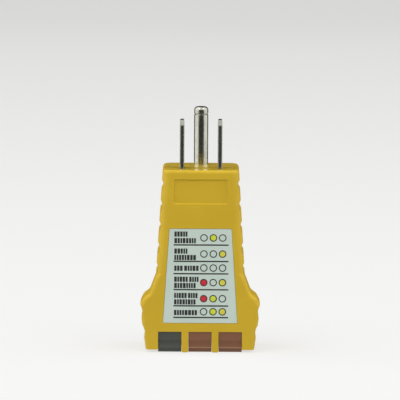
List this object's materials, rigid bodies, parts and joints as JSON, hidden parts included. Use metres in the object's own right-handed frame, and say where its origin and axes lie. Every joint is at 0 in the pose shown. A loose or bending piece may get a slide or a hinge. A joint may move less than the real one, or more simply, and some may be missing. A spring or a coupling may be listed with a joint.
{
  "type": "outlet tester plug",
  "caption": "Handheld outlet tester: a yellow two-shell body that plugs straight into a socket, with indicator lenses at the end and a result label on its face.",
  "frame": {"origin": "centre of the plug face, midway across the body", "axes": "+Z out of the plug face along the prongs, -Y out of the label face, +X to the right when the label is read with the prongs up"},
  "size_m": [0.04, 0.026, 0.0808],
  "materials": {
    "housing": "mustard yellow, semi-gloss moulded",
    "carrier": "black thermoset moulding",
    "prong_plate": "nickel plated, polished",
    "lens_smoke": "clear smoke-grey, polished",
    "lens_amber": "clear brown-amber, polished",
    "label_stock": "off-white laminated film",
    "screw_zinc": "bright zinc",
    "board": "brown phenolic laminate",
    "solder": "satin solder",
    "insulation_black": "soft PVC",
    "insulation_white": "soft PVC",
    "insulation_green": "soft PVC",
    "copper": "tinned copper strand",
    "lamp_glass": "clear",
    "electrode": "satin nickel wire",
    "resistor_body": "tan epoxy coat"
  },
  "bodies": {
    "root": {"front_shell": "housing", "rear_shell": "housing", "prong_carrier": "carrier", "hot_blade": "prong_plate", "neutral_blade": "prong_plate", "ground_pin": "prong_plate", "left_lens": "lens_smoke", "middle_lens": "lens_amber", "right_lens": "lens_amber", "result_label": "label_stock", "case_screws": "screw_zinc", "circuit_board": "board", "solder_joints": "solder", "hot_lead_insulation": "insulation_black", "neutral_lead_insulation": "insulation_white", "ground_lead_insulation": "insulation_green", "hot_lead_core": "copper", "neutral_lead_core": "copper", "ground_lead_core": "copper", "left_lamp_glass": "lamp_glass", "left_lamp_electrodes": "electrode", "left_resistor": "resistor_body", "left_resistor_leads": "electrode", "middle_lamp_glass": "lamp_glass", "middle_lamp_electrodes": "electrode", "middle_resistor": "resistor_body", "middle_resistor_leads": "electrode", "right_lamp_glass": "lamp_glass", "right_lamp_electrodes": "electrode", "right_resistor": "resistor_body", "right_resistor_leads": "electrode"}
  },
  "joints": []
}
